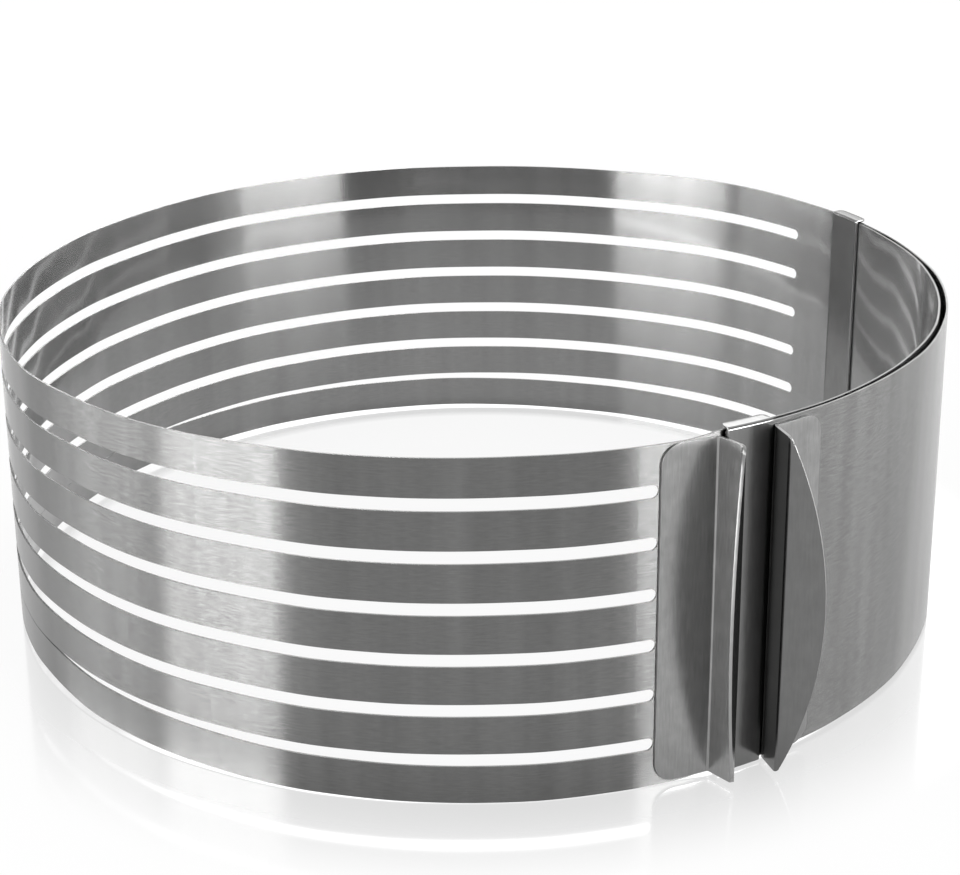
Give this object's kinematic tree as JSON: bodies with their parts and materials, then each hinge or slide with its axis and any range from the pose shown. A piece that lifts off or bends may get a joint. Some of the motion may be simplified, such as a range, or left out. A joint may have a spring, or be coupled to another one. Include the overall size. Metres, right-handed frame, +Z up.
{
  "type": "adjustable cake ring",
  "caption": "Coiled stainless strip with level knife slots and two bow handles, which opens to grow the ring and guides a knife through a cake.",
  "frame": {"origin": "on the table, under the middle of the outline", "axes": "+Z up out of the ring, -Y towards the picture's viewer, +X to the viewer's right"},
  "size_m": [0.2534, 0.2576, 0.0868],
  "materials": {
    "band_steel": "brushed along its length",
    "handle_steel": "brushed upright",
    "guide_steel": "brushed"
  },
  "bodies": {
    "band_01": {"band_01": "band_steel", "inner_guide": "guide_steel"},
    "band_02": {"band_02": "band_steel"},
    "band_03": {"band_03": "band_steel"},
    "band_04": {"band_04": "band_steel"},
    "band_05": {"band_05": "band_steel", "left_handle": "handle_steel"},
    "band_06": {"band_06": "band_steel"},
    "band_07": {"band_07": "band_steel"},
    "band_08": {"band_08": "band_steel"},
    "band_09": {"band_09": "band_steel"},
    "band_10": {"band_10": "band_steel"},
    "band_11": {"band_11": "band_steel"},
    "band_12": {"band_12": "band_steel"},
    "band_13": {"band_13": "band_steel"},
    "band_14": {"band_14": "band_steel"},
    "band_15": {"band_15": "band_steel"},
    "band_16": {"band_16": "band_steel"},
    "band_17": {"band_17": "band_steel"},
    "band_18": {"band_18": "band_steel"},
    "band_19": {"band_19": "band_steel"},
    "band_20": {"band_20": "band_steel", "right_handle": "handle_steel", "outer_guide": "guide_steel"}
  },
  "joints": [
    {"name": "flex_11", "type": "hinge", "parent": "band_10", "child": "band_11", "pos_m": [-0.12097, 0.04033, 0.04], "axis": [0, 0, 1], "range_deg": [0, 3.6]},
    {"name": "flex_12", "type": "hinge", "parent": "band_11", "child": "band_12", "pos_m": [-0.09725, 0.08369, 0.04], "axis": [0, 0, 1], "range_deg": [0, 3.6]},
    {"name": "flex_13", "type": "hinge", "parent": "band_12", "child": "band_13", "pos_m": [-0.05866, 0.11461, 0.04], "axis": [0, 0, 1], "range_deg": [0, 3.6]},
    {"name": "flex_14", "type": "hinge", "parent": "band_13", "child": "band_14", "pos_m": [-0.01112, 0.12832, 0.04], "axis": [0, 0, 1], "range_deg": [0, 3.6]},
    {"name": "flex_15", "type": "hinge", "parent": "band_14", "child": "band_15", "pos_m": [0.03806, 0.1227, 0.04], "axis": [0, 0, 1], "range_deg": [0, 3.6]},
    {"name": "flex_16", "type": "hinge", "parent": "band_15", "child": "band_16", "pos_m": [0.08133, 0.09858, 0.04], "axis": [0, 0, 1], "range_deg": [0, 3.6]},
    {"name": "flex_17", "type": "hinge", "parent": "band_16", "child": "band_17", "pos_m": [0.11201, 0.05966, 0.04], "axis": [0, 0, 1], "range_deg": [0, 3.6]},
    {"name": "flex_18", "type": "hinge", "parent": "band_17", "child": "band_18", "pos_m": [0.12613, 0.01196, 0.04], "axis": [0, 0, 1], "range_deg": [0, 3.6]},
    {"name": "flex_19", "type": "hinge", "parent": "band_18", "child": "band_19", "pos_m": [0.12066, -0.03778, 0.04], "axis": [0, 0, 1], "range_deg": [0, 3.6]},
    {"name": "flex_20", "type": "hinge", "parent": "band_19", "child": "band_20", "pos_m": [0.09533, -0.08095, 0.04], "axis": [0, 0, 1], "range_deg": [0, 3.6]},
    {"name": "flex_09", "type": "hinge", "parent": "band_10", "child": "band_09", "pos_m": [-0.12619, -0.00879, 0.04], "axis": [0, 0, -1], "range_deg": [0, 3.6]},
    {"name": "flex_08", "type": "hinge", "parent": "band_09", "child": "band_08", "pos_m": [-0.11213, -0.05612, 0.04], "axis": [0, 0, -1], "range_deg": [0, 3.6]},
    {"name": "flex_07", "type": "hinge", "parent": "band_08", "child": "band_07", "pos_m": [-0.08096, -0.09438, 0.04], "axis": [0, 0, -1], "range_deg": [0, 3.6]},
    {"name": "flex_06", "type": "hinge", "parent": "band_07", "child": "band_06", "pos_m": [-0.03751, -0.11769, 0.04], "axis": [0, 0, -1], "range_deg": [0, 3.6]},
    {"name": "flex_05", "type": "hinge", "parent": "band_06", "child": "band_05", "pos_m": [0.01155, -0.12251, 0.04], "axis": [0, 0, -1], "range_deg": [0, 3.6]},
    {"name": "flex_04", "type": "hinge", "parent": "band_05", "child": "band_04", "pos_m": [0.05865, -0.10809, 0.04], "axis": [0, 0, -1], "range_deg": [0, 3.6]},
    {"name": "flex_03", "type": "hinge", "parent": "band_04", "child": "band_03", "pos_m": [0.09657, -0.07669, 0.04], "axis": [0, 0, -1], "range_deg": [0, 3.6]},
    {"name": "flex_02", "type": "hinge", "parent": "band_03", "child": "band_02", "pos_m": [0.11949, -0.03315, 0.04], "axis": [0, 0, -1], "range_deg": [0, 3.6]},
    {"name": "flex_01", "type": "hinge", "parent": "band_02", "child": "band_01", "pos_m": [0.1239, 0.01583, 0.04], "axis": [0, 0, -1], "range_deg": [0, 3.6]}
  ],
  "couplings": [
    {"joint": "flex_12", "follows": "flex_11", "ratio": 1},
    {"joint": "flex_13", "follows": "flex_11", "ratio": 1},
    {"joint": "flex_14", "follows": "flex_11", "ratio": 1},
    {"joint": "flex_15", "follows": "flex_11", "ratio": 1},
    {"joint": "flex_16", "follows": "flex_11", "ratio": 1},
    {"joint": "flex_17", "follows": "flex_11", "ratio": 1},
    {"joint": "flex_18", "follows": "flex_11", "ratio": 1},
    {"joint": "flex_19", "follows": "flex_11", "ratio": 1},
    {"joint": "flex_20", "follows": "flex_11", "ratio": 1},
    {"joint": "flex_09", "follows": "flex_11", "ratio": 1},
    {"joint": "flex_08", "follows": "flex_11", "ratio": 1},
    {"joint": "flex_07", "follows": "flex_11", "ratio": 1},
    {"joint": "flex_06", "follows": "flex_11", "ratio": 1},
    {"joint": "flex_05", "follows": "flex_11", "ratio": 1},
    {"joint": "flex_04", "follows": "flex_11", "ratio": 1},
    {"joint": "flex_03", "follows": "flex_11", "ratio": 1},
    {"joint": "flex_02", "follows": "flex_11", "ratio": 1},
    {"joint": "flex_01", "follows": "flex_11", "ratio": 1}
  ]
}
